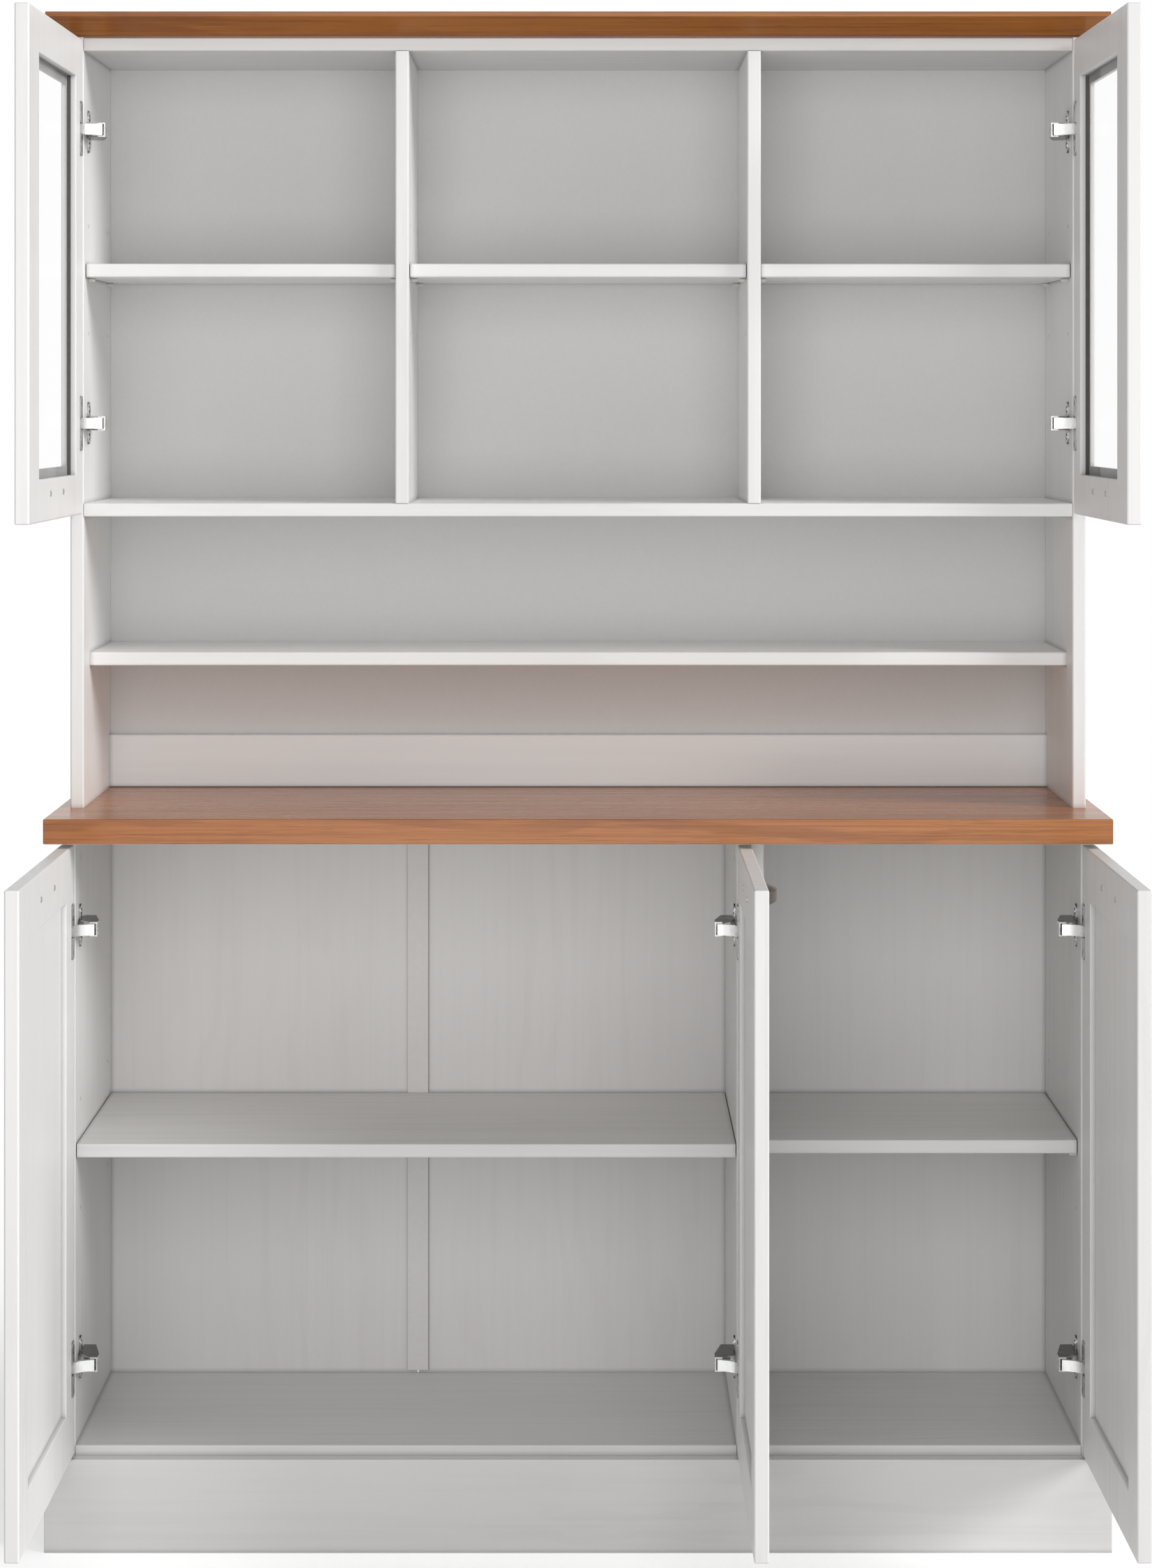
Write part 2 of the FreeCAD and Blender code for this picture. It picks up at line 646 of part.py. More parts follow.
# Base

def base_uprights():
    """The four upright boards, each drilled on the faces that look into a bay."""
    places = {
        "base_side_left": (-HALF_WIDTH, -INNER_HALF_WIDTH, -1),
        "divider_left": (HALF_BAY - BOARD, HALF_BAY, 1),
        "divider_right": (HALF_BAY, HALF_BAY + BOARD, -1),
        "base_side_right": (INNER_HALF_WIDTH, HALF_WIDTH, 1),
    }
    pins = []
    cams = []
    for name, (low_x, high_x, into) in places.items():
        face_x = high_x if into < 0 else low_x
        shape = board(low_x, high_x, FRONT_Y, BACK_Y, 0, BASE_HEIGHT)
        shape = drill_pins(shape, face_x, into, FRONT_Y, BASE_SHELF_Z)
        save(name, drill_cams(shape, face_x, into))
        pins += shelf_pins(face_x, into, FRONT_Y, BASE_SHELF_Z)
        cams += cam_locks(face_x, into)
    save("cam_locks", *cams)
    return pins


def base_bottoms_and_shelves():
    bays = {"wide": (-INNER_HALF_WIDTH, HALF_BAY - BOARD), "narrow": (HALF_BAY + BOARD, INNER_HALF_WIDTH)}
    setbacks = {"wide": WIDE_SHELF_SETBACK, "narrow": NARROW_SHELF_SETBACK}
    for name, (low_x, high_x) in bays.items():
        save("bottom_" + name, board(low_x, high_x, FRONT_Y, BACK_Y, BOTTOM_Z, FLOOR_OF_BAYS_Z))
        shelf = board(
            low_x + SHELF_SIDE_CLEARANCE, high_x - SHELF_SIDE_CLEARANCE,
            FRONT_Y + setbacks[name], BACK_Y - SHELF_BACK_CLEARANCE,
            BASE_SHELF_Z, BASE_SHELF_Z + BOARD,
        )
        save("shelf_" + name, shelf)


def base_backs():
    joint_x = -HALF_BAY
    half_web = BATTEN_SHEET / 2
    half_flange = BATTEN_WIDTH / 2
    foot = FLOOR_OF_BAYS_Z + BATTEN_FOOT_GAP
    save("back_wide_left", block(-HALF_WIDTH, joint_x - half_web, BACK_Y, REAR_Y, BOTTOM_Z, BASE_HEIGHT))
    save("back_wide_right", block(joint_x + half_web, HALF_BAY, BACK_Y, REAR_Y, BOTTOM_Z, BASE_HEIGHT))
    save("back_narrow", block(HALF_BAY, HALF_WIDTH, BACK_Y, REAR_Y, BOTTOM_Z, BASE_HEIGHT))
    low_x, high_x = joint_x - half_flange, joint_x + half_flange
    front = block(low_x, high_x, BACK_Y - BATTEN_SHEET, BACK_Y, foot, BASE_HEIGHT)
    web = block(joint_x - half_web, joint_x + half_web, BACK_Y, REAR_Y, foot, BASE_HEIGHT)
    rear = block(low_x, high_x, REAR_Y, REAR_Y + BATTEN_SHEET, foot, BASE_HEIGHT)
    save("back_batten", front.fuse(web).fuse(rear).removeSplitter())


def plinth():
    outer_x = HALF_WIDTH + PLINTH_BOARD
    front = block(-outer_x, outer_x, FRONT_Y - PLINTH_BOARD, FRONT_Y, 0, PLINTH_HEIGHT)
    rims = [
        edge for edge in front.Edges
        if near(edge.CenterOfMass.y, FRONT_Y - PLINTH_BOARD) and edge.CenterOfMass.z > PLINTH_LIP
    ]
    save("plinth_front", front.makeFillet(EDGE_ROUND / 2, rims))
    save("plinth_sides", *[
        block(*sorted((side * HALF_WIDTH, side * outer_x)), FRONT_Y, REAR_Y, 0, PLINTH_HEIGHT)
        for side in SIDES
    ])
    rear_y = BACK_Y - PLINTH_BOARD
    save(
        "plinth_rear",
        block(-INNER_HALF_WIDTH, HALF_BAY - BOARD, rear_y, BACK_Y, 0, BOTTOM_Z),
        block(HALF_BAY + BOARD, INNER_HALF_WIDTH, rear_y, BACK_Y, 0, BOTTOM_Z),
    )
    middles = (-INNER_HALF_WIDTH / 2, 0, BAY)
    half = PLINTH_BOARD / 2
    save("plinth_braces", *[block(x - half, x + half, FRONT_Y, rear_y, 0, BOTTOM_Z) for x in middles])


def countertop():
    outer_x = HALF_WIDTH + COUNTER_SIDE_OVERHANG
    front = FRONT_Y - COUNTER_FRONT_OVERHANG
    shape = block(-outer_x, outer_x, front, REAR_Y, BASE_HEIGHT, COUNTER_Z)
    rims = [edge for edge in shape.Edges if not near(edge.CenterOfMass.y, REAR_Y)]
    save("countertop", shape.makeFillet(COUNTER_ROUND, rims))


# Hutch

def hutch_uprights():
    pins = []
    for name, side in (("hutch_side_left", -1), ("hutch_side_right", 1)):
        low_x, high_x = sorted((side * HALF_WIDTH, side * INNER_HALF_WIDTH))
        shape = board(low_x, high_x, HUTCH_Y, BACK_Y, COUNTER_Z, HUTCH_TOP_Z)
        face_x = side * INNER_HALF_WIDTH
        save(name, drill_pins(shape, face_x, side, HUTCH_Y, UPPER_SHELF_Z))
        pins += shelf_pins(face_x, side, HUTCH_Y, UPPER_SHELF_Z)
    dividers = []
    for side in SIDES:
        low_x, high_x = sorted((side * HALF_BAY, side * (HALF_BAY + BOARD)))
        shape = board(low_x, high_x, HUTCH_Y, BACK_Y, DECK_Z + BOARD, HUTCH_TOP_Z - BOARD)
        for face_x, into in ((low_x, 1), (high_x, -1)):
            shape = drill_pins(shape, face_x, into, HUTCH_Y, UPPER_SHELF_Z)
            pins += shelf_pins(face_x, into, HUTCH_Y, UPPER_SHELF_Z)
        dividers.append(shape)
    save("hutch_dividers", *dividers)
    return pins


def hutch_boards():
    inner = INNER_HALF_WIDTH
    save("hutch_top", board(-inner, inner, HUTCH_Y, BACK_Y, HUTCH_TOP_Z - BOARD, HUTCH_TOP_Z))
    save("hutch_deck", board(-inner, inner, HUTCH_Y, BACK_Y, DECK_Z, DECK_Z + BOARD))
    save("open_shelf", board(
        -inner, inner, HUTCH_Y + OPEN_SHELF_SETBACK, BACK_Y, OPEN_SHELF_Z, OPEN_SHELF_Z + BOARD,
    ))
    divider_x = HALF_BAY + BOARD
    bays = ((-inner, -divider_x), (-HALF_BAY, HALF_BAY), (divider_x, inner))
    save("hutch_shelves", *[
        board(
            low_x + SHELF_SIDE_CLEARANCE, high_x - SHELF_SIDE_CLEARANCE,
            HUTCH_Y + UPPER_SHELF_SETBACK, BACK_Y - SHELF_BACK_CLEARANCE,
            UPPER_SHELF_Z, UPPER_SHELF_Z + BOARD,
        )
        for low_x, high_x in bays
    ])
    save("backsplash_rail", board(
        -inner, inner, BACK_Y - BOARD, BACK_Y, COUNTER_Z, COUNTER_Z + BACKSPLASH_HEIGHT,
    ))
    save("hutch_back", block(-HALF_WIDTH, HALF_WIDTH, BACK_Y, REAR_Y, COUNTER_Z, HUTCH_TOP_Z))


# Crown moulding

CROWN_PROFILE = [
    (-CROWN_SEAT_DEPTH, 0),
    (-CROWN_REBATE_DEPTH, 0),
    (-CROWN_REBATE_DEPTH, CROWN_REBATE_HEIGHT),
    (CROWN_TOE, CROWN_REBATE_HEIGHT),
    (CROWN_PROJECTION, CROWN_HEIGHT - CROWN_LIP_HEIGHT),
    (CROWN_PROJECTION, CROWN_HEIGHT),
    (-CROWN_SEAT_DEPTH, CROWN_HEIGHT),
]


def crown_run(start_at, end_at):
    """A length of moulding between two end sections, each a rule from (out, up) to a point."""
    wires = []
    for place in (start_at, end_at):
        corners = [place(out, up) for out, up in CROWN_PROFILE]
        wires.append(Part.makePolygon(corners + corners[:1]))
    run = Part.makeLoft(wires, True, True)
    top = HUTCH_TOP_Z + CROWN_HEIGHT
    lip = [
        edge for edge in run.Edges
        if (near(edge.CenterOfMass.z, top) or near(edge.CenterOfMass.z, top - CROWN_LIP_HEIGHT))
        and edge.Length > HUTCH_DEPTH
        and at_lip(edge.CenterOfMass)
    ]
    return run.makeFillet(CROWN_ROUND, lip)


def at_lip(point):
    return near(point.y, HUTCH_Y - CROWN_PROJECTION) or near(abs(point.x), HALF_WIDTH + CROWN_PROJECTION)


def mitre(side):
    return lambda out, up: Vector(side * (HALF_WIDTH + out), HUTCH_Y - out, HUTCH_TOP_Z + up)


def square_end(side):
    return lambda out, up: Vector(side * (HALF_WIDTH + out), REAR_Y, HUTCH_TOP_Z + up)


def crown():
    save("crown_front", crown_run(mitre(-1), mitre(1)))
    save("crown_returns", *[crown_run(mitre(side), square_end(side)) for side in SIDES])


# Doors and the hinges on the panels

def door_nodes(door, frame, handle_z):
    save(door.name + "_frame", *[door.hang(piece) for piece in frame])
    save(door.name + "_handle", *[door.hang(piece) for piece in handle_pieces(handle_z)])
    save(door.name + "_hinge_cups", *[door.hang(hinge_cup(hinge_z)) for hinge_z in door.hinges])
    save(door.name + "_hinge_links", *[
        on_panel(hinge_link(), door.panel_x, door.side, door.front, height)
        for height in door.hinge_heights()
    ])


def lower_doors():
    handle_z = LOWER_DOOR_HEIGHT - HANDLE_INSET
    frame = panel_frame(LOWER_DOOR_HEIGHT, LOWER_HINGES, handle_z)
    for door in LOWER_DOORS:
        door_nodes(door, frame, handle_z)
        save(door.name + "_panel", door.hang(door_panel(LOWER_DOOR_HEIGHT)))


def upper_doors():
    frame = glass_frame(UPPER_DOOR_HEIGHT, UPPER_HINGES, HANDLE_INSET)
    for door in UPPER_DOORS:
        door_nodes(door, frame, HANDLE_INSET)
        save(door.name + "_glass", door.hang(glass_pane(UPPER_DOOR_HEIGHT)))
        save(door.name + "_gasket", door.hang(glass_gasket(UPPER_DOOR_HEIGHT)))


def panel_hinges():
    arms = []
    plates = []
    for door in LOWER_DOORS + UPPER_DOORS:
        for height in door.hinge_heights():
            arms.append(on_panel(hinge_arm(), door.panel_x, door.side, door.front, height))
            plates.append(on_panel(hinge_plate(), door.panel_x, door.side, door.front, height))
    save("hinge_arms", *arms)
    save("hinge_plates", *plates)


def main():
    os.makedirs("parts", exist_ok=True)
    pins = base_uprights()
    base_bottoms_and_shelves()
    base_backs()
    plinth()
    countertop()
    pins += hutch_uprights()
    save("shelf_pins", *pins)
    hutch_boards()
    crown()
    lower_doors()
    upper_doors()
    panel_hinges()


main()
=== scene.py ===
import math

import bpy
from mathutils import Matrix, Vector


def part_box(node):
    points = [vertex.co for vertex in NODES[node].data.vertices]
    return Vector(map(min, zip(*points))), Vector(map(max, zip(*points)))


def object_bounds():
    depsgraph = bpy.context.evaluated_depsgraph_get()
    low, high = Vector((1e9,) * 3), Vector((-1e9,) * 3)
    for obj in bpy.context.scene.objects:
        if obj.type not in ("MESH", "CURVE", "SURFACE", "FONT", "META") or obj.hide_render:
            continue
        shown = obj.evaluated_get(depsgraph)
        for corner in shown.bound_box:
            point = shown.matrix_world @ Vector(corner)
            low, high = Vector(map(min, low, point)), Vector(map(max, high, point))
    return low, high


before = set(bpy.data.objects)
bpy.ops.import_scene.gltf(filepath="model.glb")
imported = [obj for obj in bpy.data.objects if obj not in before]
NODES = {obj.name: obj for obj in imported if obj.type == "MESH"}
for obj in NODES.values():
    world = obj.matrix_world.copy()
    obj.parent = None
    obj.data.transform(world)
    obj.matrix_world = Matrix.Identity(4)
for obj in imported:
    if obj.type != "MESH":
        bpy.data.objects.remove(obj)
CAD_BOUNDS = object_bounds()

# The picture's frame and its camera: width and height, the column under the camera, the horizon's
# row and the focal length, all in pixels. Then the sensor's width in millimetres, how far ahead of
# the base's front the camera is, and its height
IMAGE_WIDTH_PX = 1652
IMAGE_HEIGHT_PX = 2249
CENTRE_COLUMN_PX = 829.05
HORIZON_ROW_PX = 580.0
FOCAL_PX = 5214.0
SENSOR = 36.0
CAMERA_AHEAD = 4.225
CAMERA_HEIGHT = 1.3293

# Light: the surround's strength; the key's direction from the part, its spread in degrees, its
# strength and its distance; then each soft lamp's direction, distance, width and watts
WORLD_LIGHT = 0.25
KEY_DIRECTION = (2.25, -1.0, 1.15)
KEY_SPREAD = 24.0
KEY_STRENGTH = 2.0
KEY_DISTANCE = 5.0
LAMPS = {
    "front": ((0.0, -1.0, 0.15), 3.1, 2.0, 34.0),
    "front_left": ((-0.7, -1.0, 0.2), 4.0, 2.4, 3.0),
}

# Floor: half its width, its tone, roughness and glow, and the distances from the part's middle
# between which it turns into plain white; then the distance that the camera sees
FLOOR_REACH = 30.0
FLOOR_COLOR = (0.82, 0.82, 0.82, 1.0)
FLOOR_ROUGHNESS = 0.9
FLOOR_GLOW = 0.50
FLOOR_NEAR = 1.0
FLOOR_FAR = 2.6
CAMERA_FAR = 4 * FLOOR_REACH
WHITE = (1, 1, 1, 1)

# A mix node's sockets for its factor and its two colours, and the one with the mixed colour
MIX_INPUTS = (0, 6, 7)
MIX_OUTPUT = 2


def camera():
    data = bpy.data.cameras.new("camera")
    data.sensor_width = SENSOR
    data.lens = SENSOR * FOCAL_PX / IMAGE_HEIGHT_PX
    data.shift_x = (IMAGE_WIDTH_PX / 2 - CENTRE_COLUMN_PX) / IMAGE_HEIGHT_PX
    data.shift_y = (HORIZON_ROW_PX - IMAGE_HEIGHT_PX / 2) / IMAGE_HEIGHT_PX
    data.clip_end = CAMERA_FAR
    view = bpy.data.objects.new("camera", data)
    bpy.context.scene.collection.objects.link(view)
    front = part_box("base_side_left")[0].y
    view.location = (0, front - CAMERA_AHEAD, CAMERA_HEIGHT)
    view.rotation_euler = (math.pi / 2, 0, 0)
    bpy.context.scene.camera = view


def lamp(kind, name, direction, distance, power):
    """A lamp that shines on the part's middle from a direction, unseen by the camera."""
    lo, hi = CAD_BOUNDS
    data = bpy.data.lights.new(name, kind)
    data.energy = power
    made = bpy.data.objects.new(name, data)
    bpy.context.scene.collection.objects.link(made)
    away = Vector(direction).normalized()
    made.location = (lo + hi) / 2 + away * distance
    made.rotation_mode = "QUATERNION"
    made.rotation_quaternion = away.to_track_quat("Z", "Y")
    made.visible_camera = False
    return data


class Graph:
    """The nodes of one material or world, made one call at a time."""

    def __init__(self, owner):
        owner.use_nodes = True
        self.tree = owner.node_tree
        self.tree.nodes.clear()

    def add(self, kind, inputs=None, **settings):
        """A new node; each input is a value, or another node's socket that is linked to it."""
        made = self.tree.nodes.new(kind)
        for key, value in settings.items():
            setattr(made, key, value)
        for key, value in (inputs or {}).items():
            if isinstance(value, bpy.types.NodeSocket):
                self.tree.links.new(value, made.inputs[key])
            else:
                made.inputs[key].default_value = value
        return made

    def math(self, operation, first, second=0.0):
        return self.add("ShaderNodeMath", {0: first, 1: second}, operation=operation).outputs[0]

    def point(self):
        """The point in the part's frame."""
        return self.add("ShaderNodeTexCoord").outputs["Object"]

    def place(self, scale):
        """The point in the part's frame, multiplied by a scale for each axis."""
        inputs = {0: self.point(), 1: scale}
        return self.add("ShaderNodeVectorMath", inputs, operation="MULTIPLY").outputs[0]

    def coordinate(self, vector, axis):
        """The part of a vector along X, Y or Z."""
        return self.add("ShaderNodeSeparateXYZ", {0: vector}).outputs[axis]

    def facing_up(self):
        """The surface normal's part along Z, from -1 to 1."""
        return self.coordinate(self.add("ShaderNodeNewGeometry").outputs["Normal"], "Z")

    def open_share(self, reach):
        """The share of directions in which nothing lies nearer than a reach."""
        made = self.add("ShaderNodeAmbientOcclusion", {"Distance": reach}, samples=1)
        return made.outputs["AO"]

    def seen_plainly(self):
        """1 for a ray from the camera, a mirror or a clear pane, and 0 for light that spreads."""
        rays = self.add("ShaderNodeLightPath").outputs
        either = self.math("MAXIMUM", rays["Is Camera Ray"], rays["Is Glossy Ray"])
        return self.math("MAXIMUM", either, rays["Is Transmission Ray"])

    def noise(self, scale, detail=2.0, roughness=0.5, distortion=0.0):
        inputs = {
            "Vector": self.place(scale), "Scale": 1.0, "Detail": detail,
            "Roughness": roughness, "Distortion": distortion,
        }
        return self.add("ShaderNodeTexNoise", inputs).outputs["Fac"]

    def band(self, value, low, high, start=0.0, end=1.0):
        """The value rescaled smoothly from low..high to start..end."""
        inputs = {0: value, 1: low, 2: high, 3: start, 4: end}
        return self.add("ShaderNodeMapRange", inputs, interpolation_type="SMOOTHSTEP").outputs[0]

    def mix(self, factor, first, second):
        """The first colour at a factor of 0 and the second at 1."""
        made = self.add("ShaderNodeMix", data_type="RGBA")
        for index, value in zip(MIX_INPUTS, (factor, first, second)):
            if isinstance(value, bpy.types.NodeSocket):
                self.tree.links.new(value, made.inputs[index])
            else:
                made.inputs[index].default_value = value
        return made.outputs[MIX_OUTPUT]

    def stain(self, ground, mark, share, tone):
        """The ground, turned to a tone by a share where a mark is 1."""
        return self.mix(self.math("MULTIPLY", mark, share), ground, tone)

    def bump(self, height, strength, distance):
        inputs = {"Height": height, "Strength": strength, "Distance": distance}
        return self.add("ShaderNodeBump", inputs).outputs["Normal"]

    def finish(self, inputs):
        shader = self.add("ShaderNodeBsdfPrincipled", inputs)
        output = self.add("ShaderNodeOutputMaterial")
        self.tree.links.new(shader.outputs[0], output.inputs["Surface"])


def color(red, green, blue):
    """A colour given in the numbers that a screen shows, from 0 to 255, by the sRGB curve."""
    linear = []
    for value in (red, green, blue):
        share = value / 255
        linear.append(share / 12.92 if share <= 0.04045 else ((share + 0.055) / 1.055) ** 2.4)
    return (*linear, 1.0)


def scaled(tone, share):
    """A share of a tone's three colours, without change to its fourth number."""
    return tuple(share * part for part in tone[:3]) + (1.0,)


# Light and shade tones of each finish's pattern; some finishes are darker copies of the hutch's
# board, as painted shade, and the rail a brighter copy, as painted light
TONES = {
    name: (color(*light), color(*shade)) for name, (light, shade) in {
        "hutch": ((244, 243, 242), (233, 231, 229)),
        # base and carcass: darker copies of the hutch's board, as painted shade
        "base_painted_shade": ((237, 236, 235), (226, 224, 222)),
        "carcass_painted_shade": ((227, 226, 225), (216, 214, 212)),
        # rail: a brighter, cooler copy of the board, as painted light from the counter's reflection
        "rail": ((250, 254, 255), (243, 247, 249)),
        # back: a darker copy of the board, as painted shade
        "back": ((230, 228, 227), (220, 217, 216)),
        # top: a darker copy of the board, as the crown's painted shadow
        "top": ((223, 221, 220), (212, 210, 208)),
        "sheet": ((223, 223, 222), (221, 221, 220)),
        "glass": ((240, 244, 242), (228, 236, 233)),
        "strip": ((92, 90, 88), (78, 76, 74)),
        "plastic": ((224, 222, 217), (214, 212, 207)),
        "batten": ((229, 227, 226), (222, 219, 218)),
    }.items()
}

# In the values below a scale is in cycles per metre, along the grain and across it. A band is the
# part of a pattern's range over which a mark comes in, and a share is how much of its tone it has.
# A roughness is given for the pattern's low and high end. A relief is a bump's strength and depth.

# Washed board: rings, clouds, streaks and pores in a pale film
WASHED_RING_SPACING = 0.046
WASHED_RING_WANDER = 4.6
WASHED_RING_BAND = (0.80, 1.0)
WASHED_RING_PATCHES = (0.40, 0.60)
WASHED_RING_SHARE = 0.22
WASHED_CLOUD_SCALE = (0.9, 5.0)
WASHED_CLOUD_BAND = (0.30, 0.75)
WASHED_CLOUD_SHARE = 0.36
WASHED_STREAK_SCALE = (2.2, 120.0)
WASHED_STREAK_BAND = (0.42, 0.78)
WASHED_STREAK_SHARE = 0.34
WASHED_PORE_SCALE = (60.0, 1500.0)
WASHED_ROUGHNESS = (0.38, 0.48)
WASHED_RELIEF = (0.05, 0.0003)
WASHED_SPECULAR = 0.45
BACK_STRENGTH = 0.75

# Painted shade at seams and in corners between washed boards: how dark it is, how far a neighbour
# counts, and the band of openness over which the painted shade fades
PAINTED_SEAM_SHADE_SHARE = 0.40
PAINTED_SEAM_SHADE_REACH = 0.006
PAINTED_SEAM_SHADE_BAND = (0.10, 0.85)

# Honey stain: pale and deep ground, dark line and pore, then what the crown has of each tone
HONEY = tuple(
    color(*tone)[:3] for tone in ((186, 119, 64), (172, 106, 53), (139, 80, 37), (98, 54, 26))
)
CROWN_TINT = (0.80, 0.735, 0.39)
HONEY_RING_SPACING = 0.040
HONEY_RING_WANDER = 2.6
HONEY_RING_BAND = (0.92, 1.0)
HONEY_RING_PATCHES = (0.38, 0.60)
HONEY_RING_SHARE = 0.55
HONEY_CLOUD_SCALE = (1.0, 13.0)
HONEY_CLOUD_BAND = (0.3, 0.7)
HONEY_STREAK_SCALE = (2.4, 300.0)
HONEY_STREAK_BAND = (0.44, 0.66)
HONEY_STREAK_SHARE = 0.62
HONEY_PORE_SCALE = (20.0, 1200.0)
HONEY_PORE_BAND = (0.56, 0.70)
HONEY_PORE_SHARE = 0.42
HONEY_ROUGHNESS = (0.20, 0.30)
HONEY_RELIEF = (0.012, 0.0002)
HONEY_SPECULAR = 0.4

# The part of the streaks' range that changes the roughness, and the middle part of any noise's
STREAK_RANGE = (0.2, 0.8)
MIDDLE_RANGE = (0.3, 0.7)

# The pale sheet under the counter, and the band of facing down in which it shows
BACKING = color(216, 212, 206)
BACKING_BAND = (-0.8, -0.6)

# The hutch's back: sizes of its mottle and grain in cycles per metre, and its coat
SHEET_MOTTLE = 260.0
SHEET_GRAIN = 900.0
SHEET_ROUGHNESS = (0.55, 0.65)
SHEET_RELIEF = (0.10, 0.0002)
SHEET_SPECULAR = 0.3

# Metals: each one's tone and roughness
STEEL = (color(218, 218, 216), 0.24)
FLANGE = (color(200, 200, 199), 0.24)
LINK = (color(240, 240, 239), 0.26)
NICKEL = (color(172, 168, 162), 0.30)

# Brush lines and smudges on metal: what each gives to the wear, the smudges' tone, what the wear
# makes of the roughness, and the band of facing up or down that gets painted shade
BRUSH_SCALE = (30.0, 2600.0)
BRUSH_DEPTH = 0.0001
SMUDGE_SCALE = 140.0
BRUSH_PART = 0.6
SMUDGE_PART = 0.4
SMUDGE_SHARE = 0.93
WORN_ROUGHNESS = (0.8, 1.3)
PAINTED_LEVEL_SHADE_BAND = (0.6, 0.9)

# The handles' screw heads and how much of each screw is given their tone
HEAD = color(238, 237, 235)
HEAD_DEPTH = 0.004

# Painted shade for steel inside narrow slots: its tone, how far a slot's walls count, and the band
# of openness
PAINTED_SLOT_SHADE = color(30, 29, 28)
PAINTED_SLOT_SHADE_REACH = 0.005
PAINTED_SLOT_SHADE_BAND = (0.15, 0.75)

# Clear glass: its film's size in cycles per metre, and its coat
GLASS_FILM = 14.0
GLASS_ROUGHNESS = 0.02
GLASS_ALPHA = 0.025
GLASS_IOR = 1.5

# Rubber and plastic: their roughness, mottle and grain in cycles per metre, and what mottle adds to
# the roughness
STRIP_ROUGHNESS = 0.55
PLASTIC_ROUGHNESS = 0.45
PLASTIC_MOTTLE = 220.0
PLASTIC_GRAIN = 1800.0
PLASTIC_SPREAD = (-0.05, 0.08)
PLASTIC_RELIEF = (0.08, 0.0001)

# Painted shadow lines along the joining strip's edges: their width and tone, and the left and right
# strength
PAINTED_EDGE_SHADOW_WIDTH = 0.0011
PAINTED_EDGE_SHADOW_TONE = color(122, 118, 115)
PAINTED_EDGE_SHADOW_STRENGTHS = (0.25, 0.85)

# Growth rings: how the three axes share the spacing, and the size of what makes the lines wander
RING_WEIGHTS = (1.0, 0.83, 0.71)
WARP_SCALE = (1.7, 9.0)

# Grain runs along one axis
ALONG = {"x": 0, "y": 1, "z": 2}


def grain_scale(axis, along, across):
    """A scale for each axis, from the scales along the grain and across it."""
    scale = [across] * 3
    scale[ALONG[axis]] = along
    return tuple(scale)


def grain_lines(graph, axis, spacing, wander):
    """Lines of growth rings that run along an axis and wander across it, from 0 to 1."""
    weights = [weight / spacing for weight in RING_WEIGHTS]
    weights[ALONG[axis]] = 0.0
    inputs = {0: graph.point(), 1: weights}
    across = graph.add("ShaderNodeVectorMath", inputs, operation="DOT_PRODUCT")
    scale = grain_scale(axis, *WARP_SCALE)
    warp = graph.noise(scale, detail=3.0, roughness=0.55, distortion=0.4)
    phase = graph.math("ADD", across.outputs["Value"], graph.math("MULTIPLY", warp, wander))
    wave = graph.math("SINE", graph.math("MULTIPLY", phase, 2 * math.pi))
    return graph.band(wave, -1.0, 1.0)


def washed_wood(name, axis, tones, strength=1.0):
    """White-washed board: a pale film over faint rings, streaks and pores, with painted shade near
    other surfaces.
    """
    light, shade = tones
    material = bpy.data.materials.new(name)
    graph = Graph(material)
    rings = grain_lines(graph, axis, WASHED_RING_SPACING, WASHED_RING_WANDER)
    cloud = graph.noise(grain_scale(axis, *WASHED_CLOUD_SCALE), detail=3.0)
    streaks = graph.noise(grain_scale(axis, *WASHED_STREAK_SCALE), detail=4.0, roughness=0.55)
    patches = graph.band(cloud, *WASHED_RING_PATCHES)
    rings = graph.math("MULTIPLY", graph.band(rings, *WASHED_RING_BAND), patches)
    tone = graph.math("MULTIPLY", rings, WASHED_RING_SHARE * strength)
    for pattern, band, share in (
        (streaks, WASHED_STREAK_BAND, WASHED_STREAK_SHARE),
        (cloud, WASHED_CLOUD_BAND, WASHED_CLOUD_SHARE),
    ):
        part = graph.math("MULTIPLY", graph.band(pattern, *band), share * strength)
        tone = graph.math("ADD", tone, part)
    pores = graph.noise(grain_scale(axis, *WASHED_PORE_SCALE), detail=2.0)
    film = graph.mix(tone, light, shade)
    # painted shade: the film turns darker where other surfaces lie near, at seams and in corners
    away = graph.band(graph.open_share(PAINTED_SEAM_SHADE_REACH), *PAINTED_SEAM_SHADE_BAND)
    graph.finish({
        "Base Color": graph.mix(away, scaled(shade, PAINTED_SEAM_SHADE_SHARE), film),
        "Roughness": graph.band(streaks, *STREAK_RANGE, *WASHED_ROUGHNESS),
        "Normal": graph.bump(graph.math("ADD", streaks, pores), *WASHED_RELIEF),
        "Specular IOR Level": WASHED_SPECULAR,
    })
    return material


